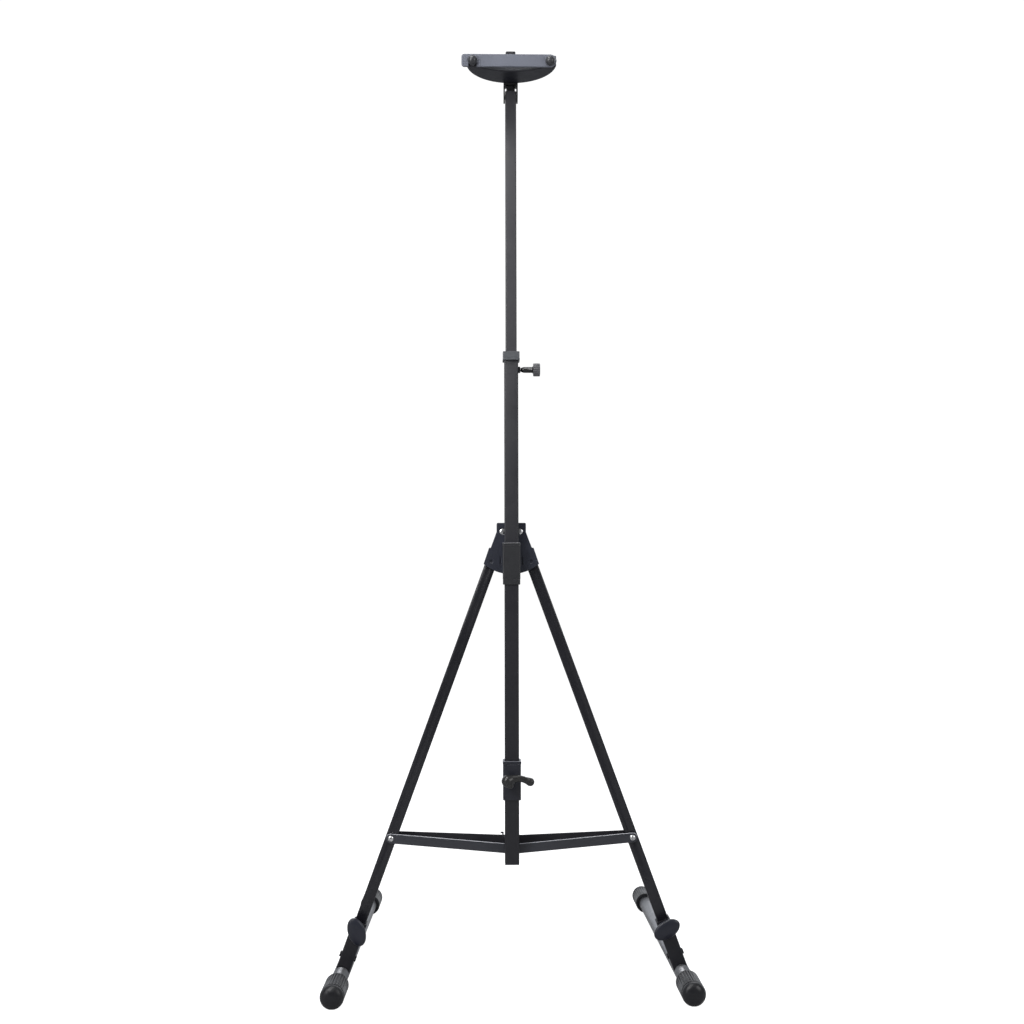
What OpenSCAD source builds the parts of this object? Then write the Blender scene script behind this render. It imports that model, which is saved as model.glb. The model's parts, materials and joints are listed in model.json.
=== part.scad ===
// Folding A-frame instrument stand: square telescopic mast, two folding legs with
// braces and front-to-back foot tubes, and a tilting half-round cradle with a latch bar.
// X is across the stand, -Y is its front, Z is up; the floor is Z = 0.

/* [Mast] */
// Width of the square outer mast tube
outer_w = 20; // [18:0.5:24]
// Wall of the outer mast tube
outer_wall = 1.6; // [1.2:0.1:2]
// Height of the outer mast's bottom end
outer_bottom = 172.5; // [150:0.5:175]
// Height of the outer mast's top end
outer_top = 884; // [880:1:886]
// Width of the square inner mast tube
inner_w = 16; // [15:0.5:16]
// Wall of the inner mast tube
inner_wall = 1.2; // [1:0.1:1.6]
// Height of the inner mast's bottom end
inner_bottom = 560; // [540:1:640]
// Height of the inner mast's top end
inner_top = 1274.5; // [1272:0.5:1275]
// Corner radius of all square tubes
tube_r = 1.6; // [1:0.1:1.8]
// Width of the moulded collar on top of the outer mast
collar_w = 24; // [23:0.5:28]
// Height of the collar's lower edge
collar_bottom = 881; // [877:0.5:882]
// Height of the collar's upper edge
collar_top = 893.5; // [890:0.5:895]

/* [Height knob] */
// Height of the clamp screw above the floor
knob_z = 868.6; // [860:0.2:870]
// Radius of the threaded boss on the mast's side
boss_r = 4.6; // [4.4:0.2:6]
// Length of the boss beyond the mast's side
boss_len = 3.2; // [3:0.1:4]
// Radius of the clamp screws
screw_r = 2; // [1.8:0.1:2.4]
// Radius of the knob's shank
shank_r = 4.2; // [3.5:0.1:5]
// Radius of the knob's head
head_r = 9.4; // [8:0.2:11]
// Distance from the mast's axis to the shank's near end
shank_x = 17.7; // [15:0.1:19]
// Distance from the mast's axis to the head's near side
head_x = 31.4; // [28:0.2:33]
// Thickness of the knob's head
head_len = 10.1; // [8:0.1:12]

/* [Hub] */
// Half distance between the two leg pivots
pivot_x = 12.5; // [12:0.5:13]
// Height of the leg pivots
pivot_z = 637; // [620:1:650]
// Angle of each leg from vertical
leg_angle = 20.08; // [19:0.02:21]
// Half width of the hub's top
hub_top_half = 21; // [20.6:0.2:22]
// Height of the hub's top edge above the leg pivots
hub_rise = 12.4; // [11:0.2:14]
// Radius of the hub's round lower edge about the pivot line's centre
hub_fan_r = 61; // [58:0.5:64]
// Depth of the hub's square top below the pivots
hub_waist = 1.5; // [0.5:0.5:4]
// Depth of the ears' upper corners below the pivots
hub_ear_top = 23.3; // [20:0.5:26]
// How far the ears stand out past the legs
hub_step = 2.4; // [2:0.2:4]
// Half width of the hub at its ears
hub_ear_half = 40; // [39:0.5:42]
// Depth of the ears below the pivots
hub_ear_drop = 47; // [44:0.5:50]
// Thickness of each hub plate
hub_t = 4.2; // [3.8:0.1:4.2]
// Radius of the pivot rivets
rivet_r = 3; // [2.5:0.1:3.4]
// Radius of the rivets' heads
rivet_head_r = 4.6; // [4:0.1:5]
// Lower end of the saddle round the mast
saddle_bottom = 561; // [555:1:570]
// Upper end of the saddle
saddle_top = 620; // [610:1:625]
// Width of the saddle
saddle_w = 24.8; // [24:0.2:27]

/* [Legs and braces] */
// Width of the square leg tubes
leg_w = 16; // [15:0.5:16]
// Wall of the leg tubes
leg_wall = 1.2; // [1:0.1:1.6]
// Distance of the legs' mid plane behind the mast's axis
leg_y = 22.5; // [22.5:0.5:24]
// Distance from the pivot to the leg tube's lower end
leg_len = 620; // [600:1:621]
// Distance from the pivot to the brace rivet, along the leg
brace_s = 461.6; // [440:0.2:480]
// Height of the brace's inner end
brace_inner_z = 188.2; // [186:0.2:192]
// Thickness of the brace straps
strap_t = 1.6; // [1.2:0.1:1.6]
// Gap between neighbouring straps and tubes
layer_gap = 0.4; // [0.3:0.05:0.5]
// Width of the front straps
strap_w = 13.6; // [12:0.2:15]
// Width of the rear straps at the mast
strap_wide = 22; // [18:0.5:24]
// Radius of the brace rivets
brace_rivet_r = 2.5; // [2:0.1:3]

/* [Slider] */
// Lower end of the slider collar
slider_bottom = 260.5; // [255:0.5:266]
// Upper end of the slider collar
slider_top = 314.5; // [310:0.5:322]
// Width of the slider collar
slider_w = 25; // [24:0.5:28]
// Height of its clamp knob
slider_knob_z = 289.8; // [288:0.2:296]
// Length of the knob's long arm from the screw's axis
arm_long = 26.5; // [20:0.5:30]
// Length of the knob's short arm from the screw's axis
arm_short = 9.5; // [8:0.5:14]
// Radius of the knob's arms
arm_r = 4.4; // [3.5:0.1:5]

/* [Feet] */
// Width of the square foot sleeves
sleeve_w = 20; // [19:0.5:20]
// Distance from the leg's pivot to the sleeve's upper end
sleeve_s0 = 585; // [575:1:587]
// Distance from the leg's pivot to the sleeve's lower end
sleeve_s1 = 657.2; // [655:0.2:657.6]
// Distance from the leg's pivot to the cross bolt
bolt_s = 637; // [634:0.5:638]
// Radius of the cross bolt
bolt_r = 3; // [2.5:0.1:3.2]
// Distance from the leg's pivot to the clamp knob's screw
oval_s = 595; // [593:0.5:597]
// Length of the oval clamp knob
oval_len = 41; // [36:0.5:44]
// Width of the oval clamp knob
oval_w = 21.4; // [20:0.2:24]
// Radius of the round foot tubes
foot_r = 11; // [10:0.5:11]
// Wall of the foot tubes
foot_wall = 1.5; // [1.2:0.1:2]
// Radius of the ribbed rubber caps
cap_r = 16.2; // [15:0.2:17]
// Depth of the flat that the caps rest on
cap_flat = 0.6; // [0.4:0.1:1]
// Distance from the mast's axis forward to the front caps' ends
reach_front = 86; // [80:1:110]
// Distance from the mast's axis back to the rear caps' ends
reach_rear = 435; // [400:1:450]
// Angle by which the foot tubes' rear ends point inwards
toe_in = 0.7; // [0:0.1:0.8]
// Length of the caps
cap_len = 59; // [45:1:64]
// Depth of the caps' domed ends
cap_dome = 8; // [6:0.5:12]

/* [Head] */
// Height of the tilt pin
pin_z = 1268; // [1267:0.1:1269]
// Width over the bracket's two cheeks
bracket_w = 20.7; // [20.2:0.1:22]
// Depth of the cheeks
bracket_d = 17; // [15:0.5:18]
// Thickness of the cheeks
cheek_t = 2; // [1.8:0.1:2]
// Thickness of the web that joins the cheeks under the cradle
flange_t = 2.5; // [2:0.1:3]
// Width of the tongue between the cheeks
tongue_w = 12.3; // [12:0.1:12.6]
// Depth of the tongue
tongue_d = 10; // [8:0.5:12]
// Width of the backrest plate
back_w = 14.4; // [13:0.2:16]
// Thickness of the backrest plate
back_t = 3.5; // [3:0.1:4]
// Height of the backrest plate's top
back_top = 1335.5; // [1330:0.5:1345]
// Radius of the half-round cradle block
cradle_r = 63.4; // [60:0.2:68]
// Depth of the cradle block from back to front
cradle_d = 57; // [54:0.5:60]
// Height of the cradle block's underside
cradle_z = 1287; // [1286:0.5:1289]
// Height of the cradle block
cradle_h = 17.4; // [16:0.2:20]
// Half width of the hollow in the cradle's front
hollow_half = 42.5; // [38:0.5:46]
// Depth of the hollow in the cradle's front
hollow_d = 12; // [10:0.5:14]
// Thickness of the liner in the hollow
liner_t = 2; // [1.5:0.1:2.5]
// Half distance between the two studs
stud_x = 54.5; // [52:0.5:57]
// Height of the studs
stud_z = 1293.4; // [1291:0.2:1295]
// Radius of the studs
stud_r = 5.2; // [4.5:0.1:5.4]
// Radius of the studs' balls
ball_r = 6.9; // [6.5:0.1:7.2]
// Thickness of the latch bar
latch_t = 3.5; // [3:0.1:4]
// Height of the latch bar from edge to edge
latch_h = 18; // [17:0.2:18.4]
// Height of the latch bar's middle line above the floor
latch_z = 1295; // [1294:0.2:1296]
// Distance from the centre to the latch bar's finger tab end
latch_tab = 70; // [68:0.5:74]

/* [Hidden] */
$fn = 48;

black_paint = "#2b2b2e";
dark_plastic = "#222226";
grey_plastic = "#7c8088";
rubber = "#1d1d20";
silver = "#b9babd";

// Overshoot of cutting solids beyond the faces they cut
cut = 1;
// Clearance between parts that slide on each other
slide_gap = 0.3;
// Radial clearance of a pin in its running bore
run_gap = 0.05;
// Distance of the mast's axis from the footprint's centre
mast_y = -(reach_rear - reach_front) / 2;
leg_front = leg_y - leg_w / 2;
leg_back = leg_y + leg_w / 2;
sin_leg = sin(leg_angle);
cos_leg = cos(leg_angle);
brace_outer_x = pivot_x + brace_s * sin_leg;
brace_outer_z = pivot_z - brace_s * cos_leg;
brace_len = norm([brace_outer_x, brace_outer_z - brace_inner_z]);
brace_angle = atan2(brace_outer_z - brace_inner_z, brace_outer_x);
foot_z = cap_r - cap_flat;
foot_s = (pivot_z - foot_z) / cos_leg;
foot_x = pivot_x + foot_s * sin_leg;
sleeve_bore = leg_w + 2 * slide_gap;
// Distance of the backrest plate's rear face ahead of the mast's axis
rear_set = 0.5;
cradle_back = -back_t - rear_set;
cradle_front = cradle_back - cradle_d;
cradle_centre = cradle_back - cradle_r;
hollow_r = (hollow_half * hollow_half + hollow_d * hollow_d) / (2 * hollow_d);
hollow_centre = cradle_front - hollow_r + hollow_d;
ear_top_x = pivot_x + (leg_w / 2 + hub_ear_top * sin_leg) / cos_leg + hub_step;
latch_gap = 0.4;
latch_back = cradle_front - latch_gap;
latch_front = latch_back - latch_t;
// Thickness of the rivets' heads and of the tilt pin's heads
rivet_head_t = 1.8;
pin_head_t = 0.8;
hub_front_y = outer_w / 2;
hub_rear_y = leg_back + slide_gap;
// Radius of the cradle's screws and their heights in the backrest
screw_shank_r = 2;
screw_z = [1291.5, 1300.5];
slider_bore = outer_w + 2 * slide_gap;
slider_depth = slider_w + 1;
slider_cap_h = 4.7;
// Half width of the tail that joins the slider to its brace pivot
tail_half = 8;
knob_stem_front = -28;
// Length of the boss under the oval knob, the gap over it and the knob's thickness
oval_boss_len = 3.5;
oval_gap = 1;
oval_t = 12;
oval_boss_y = -sleeve_w / 2 - oval_boss_len;
oval_back = oval_boss_y - oval_gap;
// Turn of each oval knob from its leg's direction
left_oval_turn = 40;
right_oval_turn = 78;
foot_lug_t = 8;
// Depth from a foot tube's end to its cap's dome
cap_wall_end = 3;

// Moves a solid drawn about the mast's axis to its place on the footprint
module at_mast() {
    translate([0, mast_y, 0])
        children();
}

// Rectangle with round corners, centred
module round_rect(w, d, r) {
    square([w - 2 * r, d], center = true);
    square([w, d - 2 * r], center = true);
    for (x = [-1, 1], y = [-1, 1])
        translate([x * (w / 2 - r), y * (d / 2 - r)])
            circle(r);
}

// Square tube with round corners, along Z from 0
module square_tube(w, wall, length) {
    linear_extrude(length)
        difference() {
            round_rect(w, w, tube_r);
            square(w - 2 * wall, center = true);
        }
}

// Extrudes a flat outline drawn in X and Z through depth t, its front face at y
module plate(y, t) {
    translate([0, y + t, 0])
        rotate([90, 0, 0])
            linear_extrude(t)
                children();
}

// Cylinder along +Y from y0 to y1
module rod_y(r, y0, y1) {
    translate([0, y0, 0])
        rotate([-90, 0, 0])
            cylinder(r = r, h = y1 - y0);
}

// Cylinder along +X from x0 to x1
module rod_x(r, x0, x1) {
    translate([x0, 0, 0])
        rotate([0, 90, 0])
            cylinder(r = r, h = x1 - x0);
}

// Frame of the leg on one side: -Z runs down the leg from its pivot, Y = 0 is its mid plane
module on_leg(side) {
    at_mast()
        translate([side * pivot_x, leg_y, pivot_z])
            rotate([0, -side * leg_angle, 0])
                children();
}

// ---- Mast ----

module outer_mast() {
    color(black_paint)
        at_mast()
            difference() {
                translate([0, 0, outer_bottom])
                    square_tube(outer_w, outer_wall, outer_top - outer_bottom);
                translate([0, 0, knob_z])
                    rod_x(screw_r + run_gap, 0, outer_w);
            }
}

module mast_end_plug() {
    plug_rise = 14;
    flange = 1.5;
    plug_w = outer_w - 2 * outer_wall;
    color(dark_plastic)
        at_mast()
            translate([0, 0, outer_bottom - flange]) {
                linear_extrude(flange)
                    round_rect(outer_w, outer_w, tube_r);
                linear_extrude(plug_rise)
                    square(plug_w, center = true);
            }
}

module top_collar() {
    bore = inner_w + 2 * slide_gap;
    lip = 0.6;
    lip_h = 3;
    color(dark_plastic)
        at_mast()
            difference() {
                union() {
                    translate([0, 0, collar_bottom])
                        linear_extrude(lip_h)
                            round_rect(collar_w + lip, collar_w + lip, tube_r);
                    translate([0, 0, collar_bottom])
                        linear_extrude(collar_top - collar_bottom)
                            round_rect(collar_w, collar_w, tube_r);
                }
                translate([0, 0, collar_bottom - cut])
                    linear_extrude(collar_top - collar_bottom + 2 * cut)
                        square(bore, center = true);
                translate([0, 0, collar_bottom - cut])
                    linear_extrude(outer_top - collar_bottom + cut)
                        round_rect(outer_w, outer_w, tube_r);
            }
}

module knob_boss() {
    color(black_paint)
        at_mast()
            translate([0, 0, knob_z])
                difference() {
                    rod_x(boss_r, outer_w / 2, outer_w / 2 + boss_len);
                    rod_x(screw_r + run_gap, 0, outer_w);
                }
}

module inner_mast() {
    color(black_paint)
        at_mast()
            difference() {
                translate([0, 0, inner_bottom])
                    square_tube(inner_w, inner_wall, inner_top - inner_bottom);
                rod_x_at_pin(rivet_r, inner_w);
            }
}

module mast_guide_bush() {
    bush_h = 18;
    flange = 3;
    flange_w = outer_w - 2 * outer_wall - 2 * slide_gap;
    color(dark_plastic)
        at_mast()
            translate([0, 0, inner_bottom]) {
                translate([0, 0, -flange])
                    linear_extrude(flange)
                        square(flange_w, center = true);
                linear_extrude(bush_h)
                    square(inner_w - 2 * inner_wall, center = true);
            }
}

// ---- Height knob ----

module height_knob() {
    flute_r = 1.1;
    flutes = 18;
    edge = 0.8;
    neck_r = 2.7;
    neck_x = outer_w / 2 + boss_len + slide_gap;
    color(grey_plastic)
        at_mast()
            translate([0, 0, knob_z])
                difference() {
                    union() {
                        rod_x(shank_r, shank_x, head_x);
                        translate([neck_x, 0, 0])
                            rotate([0, 90, 0])
                                cylinder(r1 = neck_r, r2 = shank_r, h = shank_x - neck_x);
                        translate([head_x, 0, 0])
                            rotate([0, 90, 0])
                                rotate_extrude()
                                    polygon([
                                        [0, 0], [head_r - edge, 0], [head_r, edge],
                                        [head_r, head_len - edge], [head_r - edge, head_len], [0, head_len]
                                    ]);
                    }
                    rod_x(screw_r, neck_x - cut, head_x);
                    for (i = [0 : flutes - 1])
                        rotate([i * 360 / flutes, 0, 0])
                            translate([0, 0, head_r + flute_r / 3])
                                rod_x(flute_r, head_x - cut, head_x + head_len + cut);
                }
}

module height_knob_screw() {
    tip = inner_w / 2 + slide_gap;
    color(silver)
        at_mast()
            translate([0, 0, knob_z])
                rod_x(screw_r, tip, head_x);
}

// ---- Hub ----

// Outline of both hub plates, in X and Z about the middle of the pivot line
module hub_outline() {
    corner = 2;
    block_h = hub_rise + hub_waist;
    translate([0, hub_rise - block_h / 2])
        round_rect(2 * hub_top_half, block_h, corner);
    intersection() {
        circle(hub_fan_r, $fn = 120);
        polygon([
            [-hub_top_half, 0],
            [hub_top_half, 0],
            [hub_top_half, -hub_waist],
            [ear_top_x - hub_step, -hub_ear_top],
            [ear_top_x, -hub_ear_top],
            [hub_ear_half, -hub_ear_drop],
            [hub_ear_half - hub_step, -hub_fan_r],
            [-hub_ear_half + hub_step, -hub_fan_r],
            [-hub_ear_half, -hub_ear_drop],
            [-ear_top_x, -hub_ear_top],
            [-ear_top_x + hub_step, -hub_ear_top],
            [-hub_top_half, -hub_waist]
        ]);
    }
}

// Bores for the two pivot rivets, with a recess for their heads from y_head on
module hub_bores(y_bore, y_head, head_t) {
    for (side = [-1, 1])
        translate([side * pivot_x, 0, 0]) {
            rod_y(rivet_r + run_gap, y_bore - cut, y_bore + hub_t + cut);
            rod_y(rivet_head_r + run_gap, y_head, y_head + head_t);
        }
}

module hub_front_plate() {
    dimple_x = 28.4;
    dimple_drop = 43;
    dimple_r = 2.4;
    dimple_d = 1.2;
    slot_x = 15.2;
    slot_w = 2.4;
    slot_h = 12;
    slot_drop = 36;
    slot_d = 2.5;
    color(dark_plastic)
        at_mast()
            translate([0, 0, pivot_z])
                difference() {
                    plate(hub_front_y, hub_t)
                        hub_outline();
                    hub_bores(hub_front_y, hub_front_y - cut, cut + rivet_head_t);
                    for (side = [-1, 1]) {
                        translate([side * dimple_x, 0, -dimple_drop])
                            rod_y(dimple_r, hub_front_y - cut, hub_front_y + dimple_d);
                        translate([side * slot_x - slot_w / 2, hub_front_y - cut, -slot_drop - slot_h])
                            cube([slot_w, cut + slot_d, slot_h]);
                    }
                }
}

module hub_rear_plate() {
    color(dark_plastic)
        at_mast()
            translate([0, 0, pivot_z])
                difference() {
                    plate(hub_rear_y, hub_t)
                        hub_outline();
                    hub_bores(hub_rear_y, hub_rear_y + hub_t - rivet_head_t, rivet_head_t + cut);
                }
}

module hub_saddle() {
    wall = (saddle_w - outer_w) / 2;
    lip = 0.5;
    lip_h = 5;
    foot_h = 7;
    depth = outer_w / 2 + wall;
    color(dark_plastic)
        at_mast()
            difference() {
                union() {
                    translate([0, 0, saddle_bottom])
                        linear_extrude(foot_h)
                            round_rect(saddle_w - lip, 2 * depth - lip, tube_r);
                    translate([0, 0, saddle_bottom + foot_h])
                        linear_extrude(saddle_top - lip_h - saddle_bottom - foot_h)
                            round_rect(saddle_w, 2 * depth, tube_r);
                    translate([0, 0, saddle_top - lip_h])
                        linear_extrude(lip_h)
                            round_rect(saddle_w + lip, 2 * depth + lip, tube_r);
                }
                translate([0, 0, saddle_bottom - cut])
                    linear_extrude(saddle_top - saddle_bottom + 2 * cut)
                        round_rect(outer_w, outer_w, tube_r);
                translate([-saddle_w, outer_w / 2, saddle_bottom - cut])
                    cube([2 * saddle_w, saddle_w, saddle_top - saddle_bottom + 2 * cut]);
            }
}

module hub_spacer() {
    half = pivot_x - leg_w / 2 - slide_gap;
    rise = 36;
    above = 2;
    color(dark_plastic)
        at_mast()
            translate([-half, hub_front_y + hub_t, pivot_z - rise + above])
                cube([2 * half, hub_rear_y - hub_front_y - hub_t, rise]);
}

module hub_rivets() {
    dome_r = 8;
    back = hub_rear_y + hub_t;
    color(silver)
        at_mast()
            for (side = [-1, 1])
                translate([side * pivot_x, 0, pivot_z]) {
                    rod_y(rivet_r, hub_front_y + rivet_head_t, back - rivet_head_t);
                    intersection() {
                        rod_y(rivet_head_r, hub_front_y, hub_front_y + rivet_head_t);
                        translate([0, hub_front_y + dome_r, 0])
                            sphere(dome_r, $fn = 64);
                    }
                    rod_y(rivet_head_r, back - rivet_head_t, back);
                }
}

// ---- Head ----

// Plug in the inner mast's top, with the tongue that the head turns about
module mast_tongue() {
    plug_len = 40;
    plug_w = inner_w - 2 * inner_wall;
    top_r = cradle_z - flange_t - pin_z - slide_gap;
    color(black_paint)
        at_mast()
            difference() {
                union() {
                    translate([0, 0, inner_top - plug_len])
                        linear_extrude(plug_len)
                            square(plug_w, center = true);
                    intersection() {
                        rod_x_at_pin(top_r, tongue_w / 2);
                        translate([-tongue_w / 2, -tongue_d / 2, inner_top])
                            cube([tongue_w, tongue_d, top_r]);
                    }
                }
                rod_x_at_pin(rivet_r, inner_w);
            }
}

// Cylinder about the tilt pin's axis, reaching half to each side
module rod_x_at_pin(r, half) {
    translate([0, 0, pin_z])
        rod_x(r, -half, half);
}

// Fixed in the inner mast, its heads let into the bracket's cheeks
module tilt_pin() {
    color(silver)
        at_mast() {
            rod_x_at_pin(rivet_r, bracket_w / 2);
            for (side = [0, 1])
                mirror([side, 0, 0])
                    translate([0, 0, pin_z])
                        rod_x(rivet_head_r, bracket_w / 2 - pin_head_t, bracket_w / 2);
        }
}

// Two cheeks that straddle the mast's top, and the web that carries the cradle
module head_bracket() {
    recess_x = bracket_w / 2 - pin_head_t - slide_gap;
    color(black_paint)
        at_mast()
            difference() {
                union() {
                    for (side = [0, 1])
                        mirror([side, 0, 0])
                            translate([bracket_w / 2 - cheek_t, 0, 0])
                                rotate([90, 0, 90])
                                    linear_extrude(cheek_t) {
                                        translate([0, pin_z])
                                            circle(bracket_d / 2);
                                        translate([-bracket_d / 2, pin_z])
                                            square([bracket_d, cradle_z - pin_z]);
                                    }
                    translate([-bracket_w / 2, -bracket_d / 2, cradle_z - flange_t])
                        cube([bracket_w, bracket_d, flange_t]);
                }
                rod_x_at_pin(rivet_r + run_gap, bracket_w);
                for (side = [0, 1])
                    mirror([side, 0, 0])
                        translate([0, 0, pin_z])
                            rod_x(rivet_head_r + slide_gap, recess_x, bracket_w);
            }
}

// Upright plate behind the cradle
module backrest_plate() {
    corner = 2;
    rise = back_top - cradle_z;
    color(black_paint)
        at_mast()
            difference() {
                plate(cradle_back, back_t)
                    translate([0, cradle_z + rise / 2])
                        round_rect(back_w, rise, corner);
                for (z = screw_z)
                    translate([0, 0, z])
                        rod_y(screw_shank_r, 2 * cradle_back, back_t);
            }
}

module cradle_block() {
    pad_half = 8;
    pad_d = 6;
    screw_depth = 16;
    color(dark_plastic)
        at_mast()
            difference() {
                translate([0, 0, cradle_z])
                    linear_extrude(cradle_h) {
                        difference() {
                            translate([0, cradle_centre])
                                circle(cradle_r, $fn = 160);
                            translate([-2 * cradle_r, cradle_front - 4 * cradle_r])
                                square(4 * cradle_r);
                            translate([0, hollow_centre])
                                circle(hollow_r + liner_t, $fn = 200);
                        }
                        translate([-pad_half, cradle_back - pad_d])
                            square([2 * pad_half, pad_d]);
                    }
                for (side = [-1, 1])
                    translate([side * stud_x, 0, stud_z])
                        rod_y(screw_shank_r, cradle_front - cut, cradle_front + screw_depth);
                for (z = screw_z)
                    translate([0, 0, z])
                        rod_y(screw_shank_r, cradle_back - screw_depth, cradle_back + cut);
            }
}

module cradle_liner() {
    edge = 0.6;
    color(rubber)
        at_mast()
            translate([0, 0, cradle_z + edge])
                linear_extrude(cradle_h - 2 * edge)
                    difference() {
                        translate([0, hollow_centre])
                            circle(hollow_r + liner_t, $fn = 200);
                        translate([0, hollow_centre])
                            circle(hollow_r, $fn = 200);
                        translate([-2 * cradle_r, cradle_front - 4 * cradle_r])
                            square(4 * cradle_r);
                    }
}

module cradle_studs() {
    ball_proud = 2.5;
    screw_depth = 15;
    color(dark_plastic)
        at_mast()
            for (side = [-1, 1])
                translate([side * stud_x, 0, stud_z]) {
                    rod_y(screw_shank_r, cradle_front, cradle_front + screw_depth);
                    rod_y(stud_r, latch_front - latch_gap, cradle_front);
                    difference() {
                        translate([0, latch_front - latch_gap - ball_proud, 0])
                            sphere(ball_r);
                        rod_y(2 * ball_r, latch_front - latch_gap, cradle_front);
                    }
                }
}

module cradle_screws() {
    head_t = 2.2;
    head_radius = 3.6;
    screw_depth = 15;
    back_face = cradle_back + back_t;
    color(silver)
        at_mast()
            for (z = screw_z)
                translate([0, 0, z]) {
                    rod_y(screw_shank_r, cradle_back - screw_depth, back_face);
                    rod_y(head_radius, back_face, back_face + head_t);
                }
}

module latch_bar() {
    tab_r = 4;
    slot_gap = 0.5;
    slot_half = stud_r + slot_gap;
    bar_half = latch_h / 2;
    color(grey_plastic)
        at_mast()
            difference() {
                translate([0, 0, latch_z])
                    plate(latch_front, latch_t) {
                        translate([stud_x, 0])
                            circle(bar_half);
                        translate([-latch_tab / 2, 0])
                            round_rect(latch_tab, latch_h, tab_r);
                        translate([-latch_tab / 2, -bar_half])
                            square([latch_tab / 2 + stud_x, latch_h]);
                    }
                translate([0, 0, stud_z]) {
                    translate([stud_x, 0, 0])
                        rod_y(stud_r + run_gap, latch_front - cut, latch_back + cut);
                    translate([-stud_x, 0, 0])
                        rod_y(slot_half, latch_front - cut, latch_back + cut);
                    translate([-stud_x - slot_half, latch_front - cut, -latch_h])
                        cube([2 * slot_half, latch_t + 2 * cut, latch_h]);
                }
            }
}

// ---- Legs and braces ----

module leg(side) {
    color(black_paint)
        on_leg(side)
            difference() {
                intersection() {
                    translate([0, 0, -leg_len])
                        square_tube(leg_w, leg_wall, leg_len + leg_w);
                    union() {
                        rod_y(leg_w / 2, -leg_w, leg_w);
                        translate([-leg_w, -leg_w, -leg_len])
                            cube([2 * leg_w, 2 * leg_w, leg_len]);
                    }
                }
                rod_y(rivet_r + run_gap, -leg_w, leg_w);
                translate([0, 0, -brace_s])
                    rod_y(brace_rivet_r, -leg_w, leg_w);
            }
}

module leg_left() {
    leg(-1);
}

module leg_right() {
    leg(1);
}

// Distance of a strap's front face behind the mast's axis; the left straps lie nearer the back
function strap_y(side, rear) =
    (rear ? leg_back + layer_gap : leg_front - 2 * (layer_gap + strap_t))
    + (side < 0 ? layer_gap + strap_t : 0);

module brace_rivet(side) {
    front = strap_y(side, false);
    back = strap_y(side, true) + strap_t;
    dome_r = 5.4;
    color(silver)
        at_mast()
            translate([side * brace_outer_x, 0, brace_outer_z]) {
                rod_y(brace_rivet_r, front - slide_gap, back + slide_gap);
                intersection() {
                    rod_y(rivet_head_r, front - slide_gap - rivet_head_t, front - slide_gap);
                    translate([0, front - slide_gap - rivet_head_t + dome_r, 0])
                        sphere(dome_r, $fn = 64);
                }
                intersection() {
                    rod_y(rivet_head_r, back + slide_gap, back + slide_gap + rivet_head_t);
                    translate([0, back + slide_gap + rivet_head_t - dome_r, 0])
                        sphere(dome_r, $fn = 64);
                }
            }
}

module brace_rivet_left() {
    brace_rivet(-1);
}

module brace_rivet_right() {
    brace_rivet(1);
}

// Strap from the brace rivet on the leg to the pin behind the mast
module brace(side, rear) {
    end_r = strap_w / 2;
    wide_up = strap_wide - end_r;
    color(black_paint)
        at_mast()
            translate([0, 0, brace_inner_z])
                mirror([side < 0 ? 1 : 0, 0, 0])
                    rotate([0, -brace_angle, 0])
                        difference() {
                            plate(strap_y(side, rear), strap_t) {
                                circle(end_r);
                                translate([brace_len, 0])
                                    circle(end_r);
                                translate([0, -end_r])
                                    square([brace_len, strap_w]);
                                if (rear)
                                    polygon([[0, 0], [brace_len, 0], [brace_len, end_r], [0, wide_up]]);
                            }
                            translate([brace_len, 0, 0])
                                rod_y(brace_rivet_r + run_gap, 0, 2 * leg_back);
                        }
}

module brace_left_front() {
    brace(-1, false);
}

module brace_left_rear() {
    brace(-1, true);
}

module brace_right_front() {
    brace(1, false);
}

module brace_right_rear() {
    brace(1, true);
}

// Head on the outermost rear strap
module brace_inner_rivet() {
    back = strap_y(-1, true) + strap_t;
    color(silver)
        at_mast()
            translate([0, 0, brace_inner_z])
                rod_y(rivet_head_r, back, back + rivet_head_t);
}

// ---- Slider ----

module slider_collar() {
    body_top = slider_top - slider_cap_h;
    color(dark_plastic)
        at_mast()
            difference() {
                union() {
                    translate([0, 0, slider_bottom])
                        linear_extrude(body_top - slider_bottom)
                            round_rect(slider_w, slider_depth, tube_r);
                    translate([-tail_half, 0, slider_bottom])
                        cube([2 * tail_half, leg_front, body_top - slider_bottom]);
                }
                translate([0, 0, slider_bottom - cut])
                    linear_extrude(slider_top)
                        square(slider_bore, center = true);
                translate([0, 0, slider_knob_z])
                    rod_y(screw_r + run_gap, -slider_w, 0);
            }
}

module slider_cap() {
    proud = 0.8;
    color(dark_plastic)
        at_mast()
            translate([0, 0, slider_top - slider_cap_h])
                linear_extrude(slider_cap_h)
                    difference() {
                        round_rect(slider_w + proud, slider_depth + proud, tube_r);
                        square(slider_bore, center = true);
                    }
}

module slider_tail() {
    web_t = 2.5;
    block_half = 9;
    block_drop = 12;
    block_rise = 13;
    color(black_paint)
        at_mast()
            difference() {
                union() {
                    translate([-tail_half, leg_front, brace_inner_z])
                        cube([2 * tail_half, web_t, slider_top - slider_cap_h - brace_inner_z]);
                    translate([-block_half, leg_front, brace_inner_z - block_drop])
                        cube([2 * block_half, leg_w, block_drop + block_rise]);
                }
                translate([0, 0, brace_inner_z])
                    rod_y(rivet_r, leg_front - cut, leg_back + cut);
            }
}

module slider_pin() {
    color(silver)
        at_mast()
            translate([0, 0, brace_inner_z])
                rod_y(rivet_r, leg_front, leg_back);
}

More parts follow.
